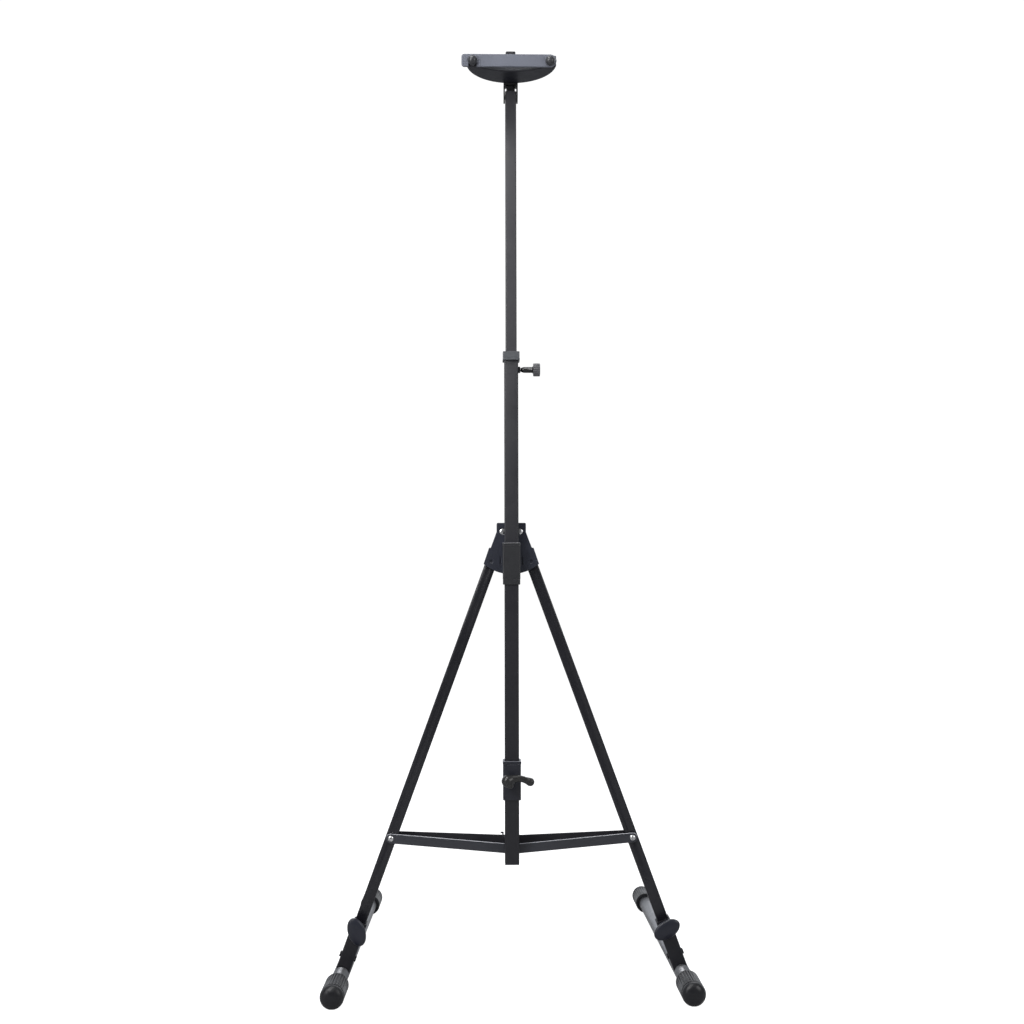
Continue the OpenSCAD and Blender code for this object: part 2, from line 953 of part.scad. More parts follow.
// Small hooked lug on the tail, standing out to the left of the mast
module slider_lug() {
    lug_z = 202;
    lug_h = 9;
    lug_t = 2;
    lug_back = 4;
    hook = 2.4;
    inner_x = 8;
    outer_x = 13.5;
    color(black_paint)
        at_mast()
            translate([0, leg_front + lug_back, lug_z]) {
                translate([-outer_x, 0, 0])
                    cube([outer_x - inner_x, lug_t, lug_t]);
                translate([-outer_x, 0, 0])
                    cube([lug_t, lug_t, lug_h]);
                translate([-outer_x - hook, 0, lug_h - lug_t])
                    cube([hook, lug_t, lug_t]);
            }
}

module slider_knob() {
    stem_r = 5.6;
    stem_gap = 3.5;
    lobe_r = 6;
    lobe_in = 1;
    tip_r = arm_r + 0.8;
    bar_y = knob_stem_front;
    color(grey_plastic)
        at_mast()
            translate([0, 0, slider_knob_z])
                difference() {
                    union() {
                        rod_y(stem_r, bar_y, -slider_w / 2 - stem_gap);
                        translate([0, bar_y, 0]) {
                            rod_x(arm_r, -arm_short, arm_long);
                            translate([arm_long, 0, 0])
                                sphere(tip_r);
                            translate([-arm_short + lobe_in, 0, 0])
                                sphere(lobe_r);
                        }
                    }
                    rod_y(screw_r, bar_y, 0);
                }
}

module slider_knob_screw() {
    color(silver)
        at_mast()
            translate([0, 0, slider_knob_z])
                rod_y(screw_r, knob_stem_front, -outer_w / 2 - slide_gap);
}

// ---- Feet ----

// Solid beyond radius r about the cross bolt, behind the leg's mid plane and below the bolt
module swing_space(r) {
    difference() {
        translate([-sleeve_w, 0, -sleeve_w * 2])
            cube([2 * sleeve_w, sleeve_w, 2 * sleeve_w]);
        rod_x(r, -2 * sleeve_w, 2 * sleeve_w);
    }
}

// Turns a foot part, drawn about the mast's axis, in by the toe-in at the leg's plane
module at_foot(side) {
    at_mast()
        translate([side * foot_x, leg_y, foot_z])
            rotate([0, 0, side * toe_in])
                translate([0, -leg_y, 0])
                    children();
}

// Solid of radius r on a foot tube's axis, past both sides of its sleeve
module foot_core(side, r) {
    at_foot(side)
        rod_y(r, leg_y - sleeve_w, leg_y + sleeve_w);
}

module foot_sleeve(side) {
    lug_slot = foot_lug_t + 2 * slide_gap;
    slot_top = 9;
    swing_r = foot_s - bolt_s - sqrt(foot_r * foot_r - lug_slot * lug_slot / 4) - slide_gap;
    toe_gap = sleeve_w / 2 * sin(toe_in);
    color(black_paint)
        difference() {
            on_leg(side)
                difference() {
                    translate([0, 0, -sleeve_s1])
                        linear_extrude(sleeve_s1 - sleeve_s0)
                            difference() {
                                round_rect(sleeve_w, sleeve_w, tube_r);
                                square(sleeve_bore, center = true);
                            }
                    translate([0, 0, -bolt_s]) {
                        rod_x(bolt_r, -sleeve_w, sleeve_w);
                        swing_space(swing_r);
                        translate([-lug_slot / 2, 0, -2 * sleeve_w])
                            cube([lug_slot, sleeve_w, 2 * sleeve_w + slot_top]);
                    }
                    translate([0, 0, -oval_s])
                        rod_y(screw_r + run_gap, -sleeve_w, 0);
                }
            foot_core(side, foot_r + slide_gap + toe_gap);
        }
}

module foot_sleeve_left() {
    foot_sleeve(-1);
}

module foot_sleeve_right() {
    foot_sleeve(1);
}

module sleeve_boss(side) {
    boss_radius = 6;
    color(black_paint)
        on_leg(side)
            translate([0, 0, -oval_s])
                difference() {
                    rod_y(boss_radius, oval_boss_y, -sleeve_w / 2);
                    rod_y(screw_r + run_gap, -2 * sleeve_w, 0);
                }
}

module sleeve_boss_left() {
    sleeve_boss(-1);
}

module sleeve_boss_right() {
    sleeve_boss(1);
}

// Oval knob, its long axis at turn degrees from the leg's own direction
module oval_knob(side, turn) {
    crown_r = 46;
    color(dark_plastic)
        on_leg(side)
            translate([0, 0, -oval_s])
                rotate([0, turn, 0])
                    difference() {
                        intersection() {
                            plate(oval_back - oval_t, oval_t)
                                scale([oval_w, oval_len])
                                    circle(d = 1, $fn = 60);
                            translate([0, oval_back - oval_t + crown_r, 0])
                                sphere(crown_r, $fn = 96);
                        }
                        rod_y(screw_r, oval_back - oval_t / 2, 0);
                    }
}

module oval_knob_left() {
    oval_knob(-1, -left_oval_turn);
}

module oval_knob_right() {
    oval_knob(1, right_oval_turn);
}

module oval_knob_screw(side) {
    color(silver)
        on_leg(side)
            translate([0, 0, -oval_s])
                rod_y(screw_r, oval_back - oval_t / 2, -leg_w / 2 - slide_gap);
}

module oval_knob_screw_left() {
    oval_knob_screw(-1);
}

module oval_knob_screw_right() {
    oval_knob_screw(1);
}

module foot_bolt(side) {
    head_t = 2.2;
    head_radius = 4;
    half = sleeve_w / 2;
    color(black_paint)
        on_leg(side)
            translate([0, 0, -bolt_s]) {
                rod_x(bolt_r, -half, half);
                rod_x(head_radius, half, half + head_t);
                rod_x(head_radius, -half - head_t, -half);
            }
}

module foot_bolt_left() {
    foot_bolt(-1);
}

module foot_bolt_right() {
    foot_bolt(1);
}

module foot_lug(side) {
    lug_r = 7;
    color(black_paint)
        difference() {
            on_leg(side)
                translate([0, 0, -bolt_s])
                    difference() {
                        union() {
                            rod_x(lug_r, -foot_lug_t / 2, foot_lug_t / 2);
                            translate([-foot_lug_t / 2, -lug_r, bolt_s - foot_s])
                                cube([foot_lug_t, 2 * lug_r, foot_s - bolt_s]);
                        }
                        rod_x(bolt_r + run_gap, -sleeve_w, sleeve_w);
                    }
            foot_core(side, foot_r);
        }
}

module foot_lug_left() {
    foot_lug(-1);
}

module foot_lug_right() {
    foot_lug(1);
}

module foot_tube(side) {
    front = -reach_front + cap_dome + cap_wall_end;
    back = reach_rear - cap_dome - cap_wall_end;
    color(black_paint)
        at_foot(side)
            difference() {
                rod_y(foot_r, front, back);
                rod_y(foot_r - foot_wall, front - cut, back + cut);
            }
}

module foot_tube_left() {
    foot_tube(-1);
}

module foot_tube_right() {
    foot_tube(1);
}

// Rubber cap with its open end at the origin, its dome towards +Y
module cap_solid() {
    dome_r = (cap_r * cap_r + cap_dome * cap_dome) / (2 * cap_dome);
    dome_y = cap_len - cap_dome;
    edge = 1.5;
    difference() {
        union() {
            rod_y(cap_r - edge, 0, edge);
            rod_y(cap_r, edge, dome_y);
            intersection() {
                rod_y(cap_r, dome_y, cap_len + cut);
                translate([0, cap_len - dome_r, 0])
                    sphere(dome_r, $fn = 120);
            }
        }
        translate([-2 * cap_r, -cut, -foot_z - cap_r])
            cube([4 * cap_r, 2 * cap_len, cap_r]);
        rod_y(foot_r, -cut, dome_y - cap_wall_end);
    }
}

module foot_cap(side, rear) {
    color(rubber)
        at_foot(side)
            translate([0, rear ? reach_rear - cap_len : cap_len - reach_front, 0])
                mirror([0, rear ? 0 : 1, 0])
                    cap_solid();
}

module foot_cap_front_left() {
    foot_cap(-1, false);
}

module foot_cap_front_right() {
    foot_cap(1, false);
}

module foot_cap_rear_left() {
    foot_cap(-1, true);
}

module foot_cap_rear_right() {
    foot_cap(1, true);
}

outer_mast();
mast_end_plug();
top_collar();
knob_boss();
hub_front_plate();
hub_rear_plate();
hub_saddle();
hub_spacer();
hub_rivets();
inner_mast();
mast_guide_bush();
mast_tongue();
tilt_pin();
height_knob();
height_knob_screw();
head_bracket();
backrest_plate();
cradle_block();
cradle_liner();
cradle_studs();
cradle_screws();
latch_bar();
leg_left();
leg_right();
brace_rivet_left();
brace_rivet_right();
brace_left_front();
brace_left_rear();
brace_right_front();
brace_right_rear();
brace_inner_rivet();
slider_collar();
slider_cap();
slider_tail();
slider_pin();
slider_lug();
slider_knob();
slider_knob_screw();
foot_sleeve_left();
foot_sleeve_right();
sleeve_boss_left();
sleeve_boss_right();
oval_knob_left();
oval_knob_right();
oval_knob_screw_left();
oval_knob_screw_right();
foot_bolt_left();
foot_bolt_right();
foot_tube_left();
foot_tube_right();
foot_lug_left();
foot_lug_right();
foot_cap_front_left();
foot_cap_front_right();
foot_cap_rear_left();
foot_cap_rear_right();
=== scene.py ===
import json
import math

import bmesh
import bpy
from mathutils import Matrix, Vector


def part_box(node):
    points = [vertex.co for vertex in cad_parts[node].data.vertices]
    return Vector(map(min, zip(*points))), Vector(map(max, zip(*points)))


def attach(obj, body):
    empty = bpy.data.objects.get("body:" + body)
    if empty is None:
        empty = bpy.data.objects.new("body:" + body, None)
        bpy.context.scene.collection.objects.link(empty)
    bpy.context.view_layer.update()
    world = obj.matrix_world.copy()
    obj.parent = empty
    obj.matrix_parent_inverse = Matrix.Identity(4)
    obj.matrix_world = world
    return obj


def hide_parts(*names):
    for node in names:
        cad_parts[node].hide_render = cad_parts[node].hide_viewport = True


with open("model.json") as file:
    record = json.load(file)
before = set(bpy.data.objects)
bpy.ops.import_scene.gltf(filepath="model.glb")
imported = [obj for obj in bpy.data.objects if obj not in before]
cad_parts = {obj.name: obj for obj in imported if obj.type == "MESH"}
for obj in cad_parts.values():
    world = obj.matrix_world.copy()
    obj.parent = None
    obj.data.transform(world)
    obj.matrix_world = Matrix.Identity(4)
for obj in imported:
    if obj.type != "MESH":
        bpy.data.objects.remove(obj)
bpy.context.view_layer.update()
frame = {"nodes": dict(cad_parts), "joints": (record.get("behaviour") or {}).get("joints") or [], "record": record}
NODES = frame["nodes"]
MM = 0.001
WELD = 0.005 * MM  # CAD mesh points nearer than this are one point
FRONT, REAR, UP = (0, -1, 0), (0, 1, 0), (0, 0, 1)
SIDES = ("left", "right")


# ---------------------------------------------------------------- small tools

def mid(node):
    """Middle of a CAD node's box."""
    low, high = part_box(node)
    return (low + high) / 2


def size(node):
    """Size of a CAD node's box."""
    low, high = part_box(node)
    return high - low


def body_of(node):
    """The CAD body that a node belongs to."""
    for body, members in frame["record"]["behaviour"]["bodies"].items():
        if node in members:
            return body
    raise ValueError(node)


SLOT_OF = {part["node"]: part["material_slot"] for part in frame["record"]["subparts"]}


def joint(name):
    """A joint of the record by its name."""
    return next(j for j in frame["joints"] if j["name"] == name)


def new_object(name, data):
    """Links a mesh, curve, light or camera to the scene as an object."""
    obj = bpy.data.objects.new(name, data)
    bpy.context.scene.collection.objects.link(obj)
    return obj


def object_from(name, bm, smooth=True):
    """Turns a bmesh into a finished object."""
    bmesh.ops.recalc_face_normals(bm, faces=bm.faces)
    mesh = bpy.data.meshes.new(name)
    bm.to_mesh(mesh)
    bm.free()
    for polygon in mesh.polygons:
        polygon.use_smooth = smooth
    return new_object(name, mesh)


def apply_modifiers(obj):
    """Bakes an object's modifiers into its mesh."""
    bpy.context.view_layer.update()
    graph = bpy.context.evaluated_depsgraph_get()
    mesh = bpy.data.meshes.new_from_object(obj.evaluated_get(graph))
    obj.modifiers.clear()
    obj.data = mesh
    return obj


def add_bevel(obj, width, segments):
    """Rounds an object's sharp edges."""
    mod = obj.modifiers.new("bevel", "BEVEL")
    mod.width = width
    mod.segments = segments
    mod.limit_method = "ANGLE"
    mod.angle_limit = math.radians(32)
    mod.harden_normals = True
    mod.use_clamp_overlap = True
    return obj


def stand_for(obj, *nodes):
    """obj replaces CAD nodes, rides on their body and takes their finish."""
    slot = SLOT_OF[nodes[0]]
    obj.data.materials.clear()
    obj.data.materials.append(FINISH_OF.get(nodes[0], FINISH[slot]))
    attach(obj, body_of(nodes[0]))
    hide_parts(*nodes)
    return obj


# ---------------------------------------------------------------- materials

RANGE_KEYS = ("From Min", "From Max", "To Min", "To Max")


class Nodes:
    """Short calls for building one material's node tree."""

    def __init__(self, name):
        self.material = bpy.data.materials.new(name)
        self.material.use_nodes = True
        self.tree = self.material.node_tree
        self.shader = self.tree.nodes["Principled BSDF"]
        spot = self.tree.nodes.new("ShaderNodeTexCoord")
        self.place = spot.outputs["Object"]
        self.facing = spot.outputs["Normal"]

    def link(self, source, target):
        self.tree.links.new(source, target)

    def noise(self, scale, detail=4.0, roughness=0.55, stretch=None):
        source = self.place
        if stretch:
            mapping = self.tree.nodes.new("ShaderNodeMapping")
            mapping.inputs["Scale"].default_value = stretch
            self.link(source, mapping.inputs["Vector"])
            source = mapping.outputs["Vector"]
        node = self.tree.nodes.new("ShaderNodeTexNoise")
        node.inputs["Scale"].default_value = scale
        node.inputs["Detail"].default_value = detail
        node.inputs["Roughness"].default_value = roughness
        self.link(source, node.inputs["Vector"])
        return node.outputs["Fac"]

    def cells(self, scale):
        node = self.tree.nodes.new("ShaderNodeTexVoronoi")
        node.inputs["Scale"].default_value = scale
        self.link(self.place, node.inputs["Vector"])
        return node.outputs["Distance"]

    def span(self, value, low, high, out_low, out_high):
        node = self.tree.nodes.new("ShaderNodeMapRange")
        for key, number in zip(RANGE_KEYS, (low, high, out_low, out_high)):
            node.inputs[key].default_value = number
        self.link(value, node.inputs["Value"])
        return node.outputs["Result"]

    def ramp(self, value, stops):
        node = self.tree.nodes.new("ShaderNodeValToRGB")
        elements = node.color_ramp.elements
        while len(elements) < len(stops):
            elements.new(0.5)
        for element, (place, colour) in zip(elements, stops):
            element.position = place
            element.color = (*colour, 1)
        self.link(value, node.inputs["Fac"])
        return node.outputs["Color"]

    def mix(self, factor, a, b):
        node = self.tree.nodes.new("ShaderNodeMix")
        node.data_type = "RGBA"
        self.link(factor, node.inputs[0])
        for value, socket in ((a, node.inputs[6]), (b, node.inputs[7])):
            if isinstance(value, tuple):
                socket.default_value = (*value, 1)
            else:
                self.link(value, socket)
        return node.outputs[2]

    def edges(self, radius):
        """1 on edges and corners, which carry rubbed wear and painted edge highlights, 0 on flat ground."""
        bevel = self.tree.nodes.new("ShaderNodeBevel")
        bevel.samples = 6
        bevel.inputs["Radius"].default_value = radius
        geometry = self.tree.nodes.new("ShaderNodeNewGeometry")
        dot = self.tree.nodes.new("ShaderNodeVectorMath")
        dot.operation = "DOT_PRODUCT"
        self.link(bevel.outputs["Normal"], dot.inputs[0])
        self.link(geometry.outputs["Normal"], dot.inputs[1])
        return self.span(dot.outputs["Value"], 0.96, 0.75, 0.0, 1.0)

    def painted_top_light_mask(self, low, high):
        """1 on the piece's own upper edges, where a painted top light goes, 0 on its upright faces."""
        split = self.tree.nodes.new("ShaderNodeSeparateXYZ")
        self.link(self.facing, split.inputs[0])
        return self.span(split.outputs["Z"], low, high, 0.0, 1.0)

    def with_painted_top_light(self, base, top):
        """The base colour, with a painted top light of another colour on the piece's upper edges if one is given.
        """
        return self.mix(self.painted_top_light_mask(0.15, 0.5), base, top) if top else base

    def mottled(self, colour, scale, detail, dark, light):
        """A colour drifting between a darker and a lighter shade of itself."""
        stops = ((0.3, shade(colour, dark)), (0.7, shade(colour, light)))
        return self.ramp(self.noise(scale, detail), stops)

    def drifting(self, scale, detail, low, high):
        """A value drifting between two limits."""
        return self.span(self.noise(scale, detail), 0.3, 0.7, low, high)

    def times(self, a, b):
        node = self.tree.nodes.new("ShaderNodeMath")
        node.operation = "MULTIPLY"
        for value, socket in ((a, node.inputs[0]), (b, node.inputs[1])):
            if isinstance(value, (int, float)):
                socket.default_value = value
            else:
                self.link(value, socket)
        return node.outputs["Value"]

    def bump(self, height, distance, strength=1.0, under=None):
        node = self.tree.nodes.new("ShaderNodeBump")
        node.inputs["Distance"].default_value = distance
        node.inputs["Strength"].default_value = strength
        self.link(height, node.inputs["Height"])
        if under:
            self.link(under, node.inputs["Normal"])
        self.link(node.outputs["Normal"], self.shader.inputs["Normal"])
        return node.outputs["Normal"]

    def set(self, **values):
        for key, value in values.items():
            socket = self.shader.inputs[key.replace("_", " ")]
            if isinstance(value, tuple):
                socket.default_value = (*value, 1)
            elif isinstance(value, (int, float)):
                socket.default_value = value
            else:
                self.link(value, socket)


def shade(colour, factor):
    """A colour made lighter or darker."""
    return tuple(min(1.0, c * factor) for c in colour)


def powder_coat(name, colour, rough, edge_wear_and_highlight, top=None):
    """Sprayed paint on steel: fine orange peel, faint cloudiness, edges lightened for rubbed wear and painted edge
    highlights, and a painted top light on upper edges if a top colour is given.
    """
    n = Nodes(name)
    base = n.mottled(colour, 9, 3, 0.86, 1.14)
    # edges take the wear colour, which is rubbed wear plus a painted edge highlight; upper edges take the top
    # colour, a painted top light
    edge_wear_and_highlight_mask = n.times(n.edges(1.2 * MM), n.span(n.noise(60, 5), 0.42, 0.62, 0.1, 0.75))
    n.set(
        Base_Color=n.with_painted_top_light(n.mix(edge_wear_and_highlight_mask, base, edge_wear_and_highlight), top),
        Roughness=n.drifting(35, 4, rough - 0.05, rough + 0.07),
        Specular_IOR_Level=0.5,
        Metallic=0.0,
    )
    peel = n.bump(n.noise(900, 2), 0.035 * MM, 0.8)
    n.bump(n.noise(2600, 2), 0.01 * MM, 0.6, under=peel)
    return n.material


def two_tone(name, inner, outer, x, rough):
    """Moulded plastic, dark and polished up to a distance along X and pale from wear past it."""
    n = Nodes(name)
    split = n.tree.nodes.new("ShaderNodeSeparateXYZ")
    n.link(n.place, split.inputs[0])
    past = n.span(split.outputs["X"], x - 0.2 * MM, x + 0.6 * MM, 0.0, 1.0)
    n.set(
        Base_Color=n.mix(past, inner, n.mottled(outer, 60, 5, 0.8, 1.2)),
        Roughness=n.span(past, 0.0, 1.0, rough - 0.12, rough + 0.06),
        Specular_IOR_Level=0.55,
    )
    lay = n.bump(n.noise(260, 3), 0.03 * MM, 0.35)
    n.bump(n.cells(1500), 0.03 * MM, 0.5, under=lay)
    return n.material


def moulded(name, colour, rough, edge_wear_and_highlight, grain=1500, streak=None, top=None):
    """Moulded nylon or ABS: fine grain, edges lightened for slight polish wear and painted edge highlights, a
    painted top light on upper edges if a top colour is given, drawn streaks if given.
    """
    n = Nodes(name)
    base = n.mottled(colour, 14, 4, 0.88, 1.12)
    # edges take the wear colour, which is polish wear plus a painted edge highlight; upper edges take the top
    # colour, a painted top light
    edge_wear_and_highlight_mask = n.times(n.edges(1.0 * MM), n.span(n.noise(90, 4), 0.4, 0.65, 0.15, 0.7))
    n.set(
        Base_Color=n.with_painted_top_light(n.mix(edge_wear_and_highlight_mask, base, edge_wear_and_highlight), top),
        Roughness=n.drifting(40, 5, rough - 0.06, rough + 0.08),
        Specular_IOR_Level=0.5,
    )
    if streak:
        lay = n.bump(n.noise(1.0, 2, stretch=streak), 0.16 * MM, 0.5)
    else:
        lay = n.bump(n.noise(260, 3), 0.03 * MM, 0.35)
    n.bump(n.cells(grain), 0.03 * MM, 0.5, under=lay)
    return n.material


def rubber(name, colour, rough):
    """Rubber with bloom, dust in patches and a faint sheen."""
    n = Nodes(name)
    dust = n.span(n.noise(55, 6, 0.7), 0.45, 0.75, 0.0, 0.5)
    base = n.mottled(colour, 20, 4, 0.85, 1.2)
    n.set(
        Base_Color=n.mix(dust, base, shade(colour, 1.8)),
        Roughness=n.drifting(70, 5, rough - 0.07, rough + 0.1),
        Sheen_Weight=0.06,
        Sheen_Roughness=0.5,
        Specular_IOR_Level=0.45,
    )
    lay = n.bump(n.noise(180, 3), 0.05 * MM, 0.4)
    n.bump(n.noise(1400, 3), 0.03 * MM, 0.6, under=lay)
    return n.material


def plated(name, colour, rough):
    """Zinc or nickel plate, brushed and lightly tarnished."""
    n = Nodes(name)
    tarnish = n.span(n.noise(120, 6, 0.7), 0.4, 0.75, 0.0, 0.6)
    n.set(
        Base_Color=n.mix(tarnish, colour, shade(colour, 0.62)),
        Roughness=n.drifting(300, 5, rough, rough + 0.14),
        Metallic=1.0,
    )
    n.bump(n.noise(900, 4), 0.015 * MM, 0.5)
    return n.material


# The finish of each material slot. The foot tubes are the only gloss black nodes, and get a light
# grey plate here, a painted reflection for the light grey bands that the photo shows on them.
FINISH = {
    "black_paint": powder_coat(
        "black_powder_coat", (0.0130, 0.0128, 0.0170), 0.46, edge_wear_and_highlight=(0.06, 0.06, 0.065)),
    "dark_plastic": moulded(
        "black_moulded_plastic", (0.0150, 0.0160, 0.0225), 0.40, edge_wear_and_highlight=(0.075, 0.078, 0.092)),
    "grey_plastic": moulded(
        "charcoal_moulded_plastic", (0.022, 0.0215, 0.0215), 0.24, edge_wear_and_highlight=(0.10, 0.10, 0.10)),
    "latch_grey": powder_coat(
        "grey_powder_coat", (0.133, 0.142, 0.174), 0.42, edge_wear_and_highlight=(0.30, 0.30, 0.32)),
    "rubber": rubber("black_rubber", (0.0065, 0.0068, 0.0090), 0.37),
    # liner: light grey, a painted light for the front light that falls on its concave face
    "liner_rubber": rubber("liner_rubber", (0.07, 0.072, 0.08), 0.60),
    # gloss black foot tubes: light grey metal, a painted reflection
    "gloss_black": plated("painted_reflection_plate", (0.31, 0.315, 0.33), 0.30),
    "silver": plated("plated_steel", (0.70, 0.70, 0.70), 0.20),
}
FINISH_OF = {}
KNOB_HEAD = 10.0 * MM  # depth of the height knob's fluted head along its axis


def finish(material, *nodes):
    """Gives CAD nodes a finish of their own in place of their slot's."""
    FINISH_OF.update(dict.fromkeys(nodes, material))


# inner mast: a lighter grey copy of the black paint, a painted top light on the upper tube
finish(powder_coat(
    "grey_paint_painted_top_light", (0.042, 0.041, 0.046), 0.42, edge_wear_and_highlight=(0.12, 0.12, 0.125)), "inner_mast")
finish(moulded(
    "weathered_grey_plastic", (0.082, 0.088, 0.096), 0.46, edge_wear_and_highlight=(0.2, 0.21, 0.21)), "top_collar")
# saddle: the pale edge colour is a painted edge highlight and the top colour a painted top light on its rim
finish(moulded(
    "saddle_plastic", (0.025, 0.0255, 0.028), 0.36,
    edge_wear_and_highlight=(0.26, 0.26, 0.27), top=(0.42, 0.42, 0.44)), "hub_saddle")
finish(moulded(
    "stud_plastic", (0.036, 0.037, 0.042), 0.34, edge_wear_and_highlight=(0.12, 0.12, 0.12)), "cradle_studs")
# hub plates: the pale edge colour is a painted edge highlight and the top colour a painted top light
finish(moulded(
    "hub_plastic", (0.0265, 0.0295, 0.0430), 0.35, edge_wear_and_highlight=(0.22, 0.225, 0.24),
    streak=(260, 260, 6), top=(0.10, 0.105, 0.118)), "hub_front_plate", "hub_rear_plate")
# front straps: a lighter copy of the black paint, with a painted edge highlight and a painted top highlight for
# their light line
finish(powder_coat(
    "front_strap_paint_painted_light", (0.0345, 0.0362, 0.0440), 0.36,
    edge_wear_and_highlight=(0.32, 0.33, 0.35), top=(0.55, 0.56, 0.60)), *(f"brace_{side}_front" for side in SIDES))
# legs: the pale edge colour is a painted edge highlight
finish(powder_coat(
    "leg_paint", (0.0120, 0.0118, 0.0155), 0.27,
    edge_wear_and_highlight=(0.10, 0.10, 0.11)), *(f"leg_{side}" for side in SIDES))
finish(moulded(
    "oval_knob_plastic", (0.0170, 0.0185, 0.0290), 0.31,
    edge_wear_and_highlight=(0.10, 0.105, 0.125), grain=700), *(f"oval_knob_{side}" for side in SIDES))
# head bracket and tongue: a darker copy of the black paint, painted shade under the cradle and between the cheeks
finish(powder_coat(
    "yoke_paint_painted_shade", (0.0070, 0.0070, 0.0085), 0.40,
    edge_wear_and_highlight=(0.06, 0.06, 0.065)), "head_bracket", "mast_tongue")
# slider: the pale edge colour is a painted edge highlight and the top colour a painted top light
finish(moulded(
    "slider_plastic", (0.0155, 0.0165, 0.0235), 0.38,
    edge_wear_and_highlight=(0.10, 0.103, 0.12), top=(0.16, 0.165, 0.19)), "slider_collar", "slider_cap")
finish(two_tone(
    "knob_grey_plastic", (0.012, 0.012, 0.013), (0.085, 0.085, 0.092),
    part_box("height_knob")[1].x - KNOB_HEAD, 0.30), "height_knob")

for node, obj in NODES.items():
    obj.data.materials.clear()
    obj.data.materials.append(FINISH_OF.get(node, FINISH[SLOT_OF[node]]))


# ---------------------------------------------------------------- piece builders

MAST_Y = mid("outer_mast").y


def welded(node):
    """A CAD node's mesh where it stands, with its doubled points merged."""
    bm = bmesh.new()
    bm.from_mesh(NODES[node].data)
    bmesh.ops.transform(bm, matrix=NODES[node].matrix_world, verts=bm.verts)
    bmesh.ops.remove_doubles(bm, verts=bm.verts, dist=WELD)
    return bm


def softened(node, width, segments=3):
    """A CAD node's shape, its flat faces merged and its sharp edges rounded."""
    bm = welded(node)
    flat = math.radians(1.0)
    bmesh.ops.dissolve_limit(bm, angle_limit=flat, verts=bm.verts, edges=bm.edges)
    obj = add_bevel(object_from(node + "_shell", bm), width, segments)
    return stand_for(apply_modifiers(obj), node)


def face_loops(node, way):
    """Closed edge loops of a CAD node's outermost flat face on one side, way being -X to +Z."""
    bm = welded(node)
    way = Vector(way)
    level = max(v.co.dot(way) for v in bm.verts)
    slack = 0.02 * MM
    flat = {f for f in bm.faces if all(abs(v.co.dot(way) - level) < slack for v in f.verts)}
    rim = [e for e in bm.edges if sum(f in flat for f in e.link_faces) == 1]
    follow = {}
    for edge in rim:
        for a, b in (edge.verts, reversed(edge.verts)):
            follow.setdefault(a, []).append(b)
    loops, seen = [], set()
    for first in follow:
        if first in seen:
            continue
        loop, last, current = [], None, first
        while current not in seen:
            seen.add(current)
            loop.append(current.co.copy())
            ahead = [v for v in follow[current] if v is not last and v not in seen]
            last, current = current, (ahead[0] if ahead else current)
        loops.append(loop)
    bm.free()
    return loops


def slab(name, loops, way, start, end, bevel, steps=4):
    """A flat slab with rolled edges between two levels along way, drawn from closed loops."""
    way = Vector(way)
    side, lift = axes_of(way)
    curve = bpy.data.curves.new(name, "CURVE")
    curve.dimensions = "2D"
    curve.fill_mode = "BOTH"
    curve.extrude = abs(end - start) / 2 - bevel
    curve.bevel_depth = bevel
    curve.bevel_resolution = steps
    curve.offset = -bevel
    for loop in loops:
        spline = curve.splines.new("POLY")
        spline.points.add(len(loop) - 1)
        for point, co in zip(spline.points, loop):
            point.co = (co.dot(side), co.dot(lift), 0, 1)
        spline.use_cyclic_u = True
    obj = new_object(name, curve)
    mesh = bpy.data.meshes.new_from_object(obj)
    bpy.data.objects.remove(obj)
    rows = Matrix((side, lift, side.cross(lift))).transposed().to_4x4()
    rows.translation = way * (start + end) / 2
    mesh.transform(rows)
    bm = bmesh.new()
    bm.from_mesh(mesh)
    bmesh.ops.remove_doubles(bm, verts=bm.verts, dist=0.002 * MM)
    return weighted(object_from(name, bm))


def span_along(node, way):
    """Lowest and highest level of a CAD node's box along a direction."""
    low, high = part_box(node)
    return sorted((low.dot(Vector(way)), high.dot(Vector(way))))


def pressed(node, way, bevel, steps=4):
    """A flat part with rolled edges, drawn from the outline of one of the node's faces."""
    start, end = span_along(node, way)
    plate = slab(node + "_pressed", face_loops(node, way), way, start, end, bevel, steps)
    return stand_for(plate, node)


def socketed(node, way, bevel, depth):
    """A flat part like pressed(), whose small openings are only sockets of a given depth."""
    start, end = span_along(node, way)
    loops = face_loops(node, way)
    outline = max(loops, key=lambda loop: max(v.x for v in loop) - min(v.x for v in loop))
    face = slab(node, loops, way, end - depth, end, bevel)
    back = slab(node, [outline], way, start, end - depth, 0.3 * MM)
    return stand_for(joined(node + "_socketed", face, back), node)


def clear_of_mast(loops):
    """Loops whose points behind the mast's sides are moved out to the mast's width."""
    half = size("outer_mast").x / 2
    behind = MAST_Y + half - 2.0 * MM
    step = 0.05 * MM  # points nearer than this to the one before are left out

    def moved(co):
        if co.y <= behind:
            return co
        return Vector((math.copysign(max(abs(co.x), half), co.x), co.y, co.z))

    cleared = []
    for loop in loops:
        places = [moved(co) for co in loop]
        kept = [co for i, co in enumerate(places) if (co - places[i - 1]).length > step]
        cleared.append(kept)
    return cleared


